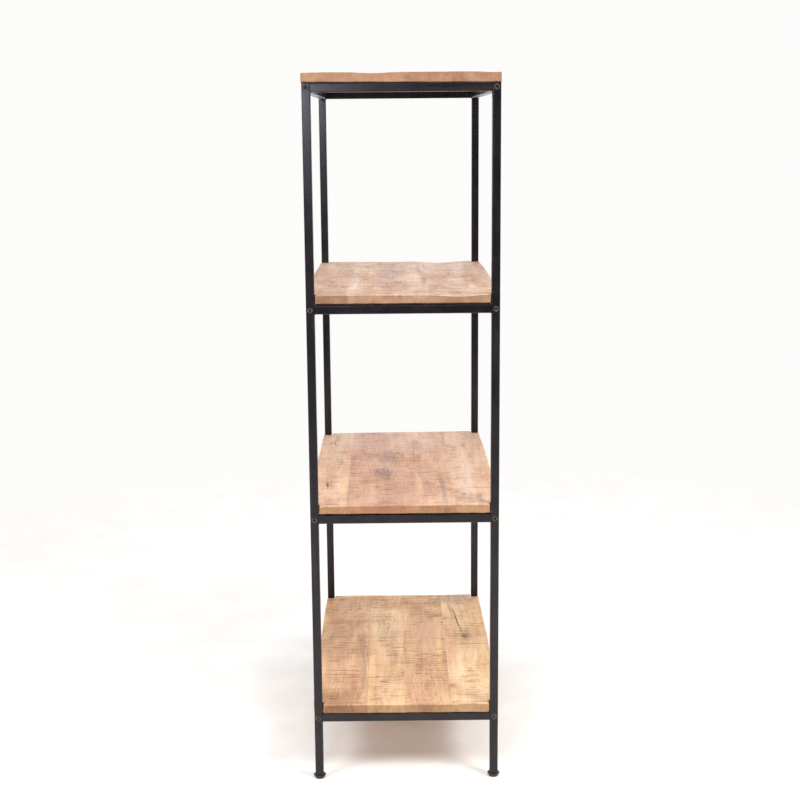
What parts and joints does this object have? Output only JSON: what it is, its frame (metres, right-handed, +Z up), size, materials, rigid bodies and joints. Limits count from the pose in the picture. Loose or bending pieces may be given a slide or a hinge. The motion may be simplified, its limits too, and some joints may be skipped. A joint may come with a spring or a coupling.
{
  "type": "open bookcase",
  "caption": "Tall narrow open bookcase: a black square-tube steel frame bolted together at its posts, thick solid wood boards on its rails, and screw-out round levelling feet.",
  "frame": {"origin": "on the floor, under the middle of the bookcase", "axes": "+Z up; X along the bookcase's length, +X being the right-hand end; Y its depth, -Y being the front long side"},
  "size_m": [0.83, 0.4612, 1.702],
  "materials": {
    "frame_steel": "mild steel tube, blackened and clear lacquered, semi gloss",
    "mango_wood": "solid mango wood, saw marks left in, matt lacquer",
    "bolt_steel": "burnished steel",
    "screw_steel": "zinc plated",
    "plug_steel": "plain steel",
    "stem_steel": "zinc plated thread",
    "black_plastic": "black moulded plastic",
    "foot_plastic": "black moulded plastic, scuffed"
  },
  "bodies": {
    "bookcase": {"post_front_left": "frame_steel", "post_front_right": "frame_steel", "post_back_left": "frame_steel", "post_back_right": "frame_steel", "post_cap_front_left": "black_plastic", "post_cap_front_right": "black_plastic", "post_cap_back_left": "black_plastic", "post_cap_back_right": "black_plastic", "rung_left_1": "frame_steel", "rung_left_2": "frame_steel", "rung_left_3": "frame_steel", "rung_left_4": "frame_steel", "rung_right_1": "frame_steel", "rung_right_2": "frame_steel", "rung_right_3": "frame_steel", "rung_right_4": "frame_steel", "rail_front_1": "frame_steel", "rail_front_2": "frame_steel", "rail_front_3": "frame_steel", "rail_front_4": "frame_steel", "rail_back_1": "frame_steel", "rail_back_2": "frame_steel", "rail_back_3": "frame_steel", "rail_back_4": "frame_steel", "rail_plugs_1": "plug_steel", "rail_plugs_2": "plug_steel", "rail_plugs_3": "plug_steel", "rail_plugs_4": "plug_steel", "corner_bolts_1": "bolt_steel", "corner_bolts_2": "bolt_steel", "corner_bolts_3": "bolt_steel", "corner_bolts_4": "bolt_steel", "board_screws_1": "screw_steel", "board_screws_2": "screw_steel", "board_screws_3": "screw_steel", "board_screws_4": "screw_steel", "shelf_board_1": "mango_wood", "shelf_board_2": "mango_wood", "shelf_board_3": "mango_wood", "top_board": "mango_wood", "foot_insert_front_left": "black_plastic", "foot_insert_front_right": "black_plastic", "foot_insert_back_left": "black_plastic", "foot_insert_back_right": "black_plastic"},
    "stem_front_left": {"foot_stem_front_left": "stem_steel"},
    "base_front_left": {"foot_base_front_left": "foot_plastic"},
    "stem_front_right": {"foot_stem_front_right": "stem_steel"},
    "base_front_right": {"foot_base_front_right": "foot_plastic"},
    "stem_back_left": {"foot_stem_back_left": "stem_steel"},
    "base_back_left": {"foot_base_back_left": "foot_plastic"},
    "stem_back_right": {"foot_stem_back_right": "stem_steel"},
    "base_back_right": {"foot_base_back_right": "foot_plastic"}
  },
  "joints": [
    {"name": "foot_lift_front_left", "type": "slide", "parent": "bookcase", "child": "stem_front_left", "axis": [0, 0, -1], "range_m": [0, 0.012]},
    {"name": "foot_turn_front_left", "type": "hinge", "parent": "stem_front_left", "child": "base_front_left", "pos_m": [-0.4, -0.215, 0.005], "axis": [0, 0, -1], "range_deg": [0, 3450]},
    {"name": "foot_lift_front_right", "type": "slide", "parent": "bookcase", "child": "stem_front_right", "axis": [0, 0, -1], "range_m": [0, 0.012]},
    {"name": "foot_turn_front_right", "type": "hinge", "parent": "stem_front_right", "child": "base_front_right", "pos_m": [0.4, -0.215, 0.005], "axis": [0, 0, -1], "range_deg": [0, 3450]},
    {"name": "foot_lift_back_left", "type": "slide", "parent": "bookcase", "child": "stem_back_left", "axis": [0, 0, -1], "range_m": [0, 0.012]},
    {"name": "foot_turn_back_left", "type": "hinge", "parent": "stem_back_left", "child": "base_back_left", "pos_m": [-0.4, 0.215, 0.005], "axis": [0, 0, -1], "range_deg": [0, 3450]},
    {"name": "foot_lift_back_right", "type": "slide", "parent": "bookcase", "child": "stem_back_right", "axis": [0, 0, -1], "range_m": [0, 0.012]},
    {"name": "foot_turn_back_right", "type": "hinge", "parent": "stem_back_right", "child": "base_back_right", "pos_m": [0.4, 0.215, 0.005], "axis": [0, 0, -1], "range_deg": [0, 3450]}
  ],
  "couplings": [
    {"joint": "foot_lift_front_left", "follows": "foot_turn_front_left", "m_per_rad": 0.00019894},
    {"joint": "foot_lift_front_right", "follows": "foot_turn_front_right", "m_per_rad": 0.00019894},
    {"joint": "foot_lift_back_left", "follows": "foot_turn_back_left", "m_per_rad": 0.00019894},
    {"joint": "foot_lift_back_right", "follows": "foot_turn_back_right", "m_per_rad": 0.00019894}
  ]
}
